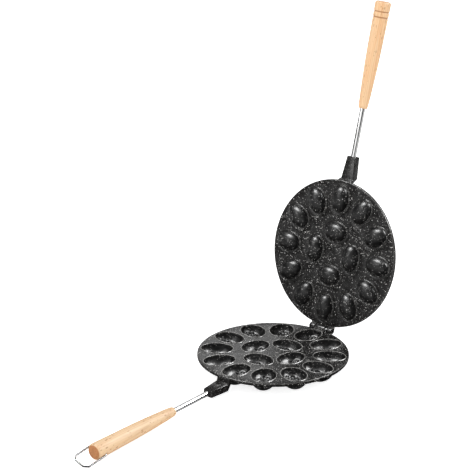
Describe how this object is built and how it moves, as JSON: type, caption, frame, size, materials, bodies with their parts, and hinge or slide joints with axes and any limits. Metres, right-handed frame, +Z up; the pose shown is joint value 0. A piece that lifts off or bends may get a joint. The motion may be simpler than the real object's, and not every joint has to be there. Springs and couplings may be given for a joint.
{
  "type": "walnut cookie mold",
  "caption": "Hinged two-plate stovetop mold for walnut-shaped cookies, with dark speckled coating, steel rods, turned wood grips and a wire bail.",
  "frame": {"origin": "centre of the lower plate's land, the flat face between its cavities", "axes": "+X towards the hinge with the handle to -X, +Z up out of the cavities, Y along the hinge pin; the lid stands open against its stop"},
  "size_m": [0.6051, 0.2, 0.4592],
  "materials": {
    "coated_casting": "cast aluminium under a dark grey non-stick coating with fine pale speckles",
    "pin_steel": "plain steel",
    "rod_steel": "bright plated steel",
    "grip_wood": "pale turned wood, smooth, clear finish, browner end grain"
  },
  "bodies": {
    "base": {"lower_plate": "coated_casting", "lower_rod": "rod_steel", "lower_rivet": "pin_steel", "lower_grip": "grip_wood"},
    "lid": {"upper_plate": "coated_casting", "hinge_pin": "pin_steel", "upper_rod": "rod_steel", "upper_rivet": "pin_steel", "upper_grip": "grip_wood"},
    "bail": {"hanging_bail": "rod_steel"}
  },
  "joints": [
    {"name": "lid_hinge", "type": "hinge", "parent": "base", "child": "lid", "pos_m": [0.1043, 0, 0.00032], "axis": [0, -1, 0], "range_deg": [0, 102.1]},
    {"name": "bail_pivot", "type": "hinge", "parent": "base", "child": "bail", "pos_m": [-0.32947, 0, -0.01564], "axis": [-0.0054, 0.9397, 0.342], "range_deg": [-151, 171]}
  ]
}
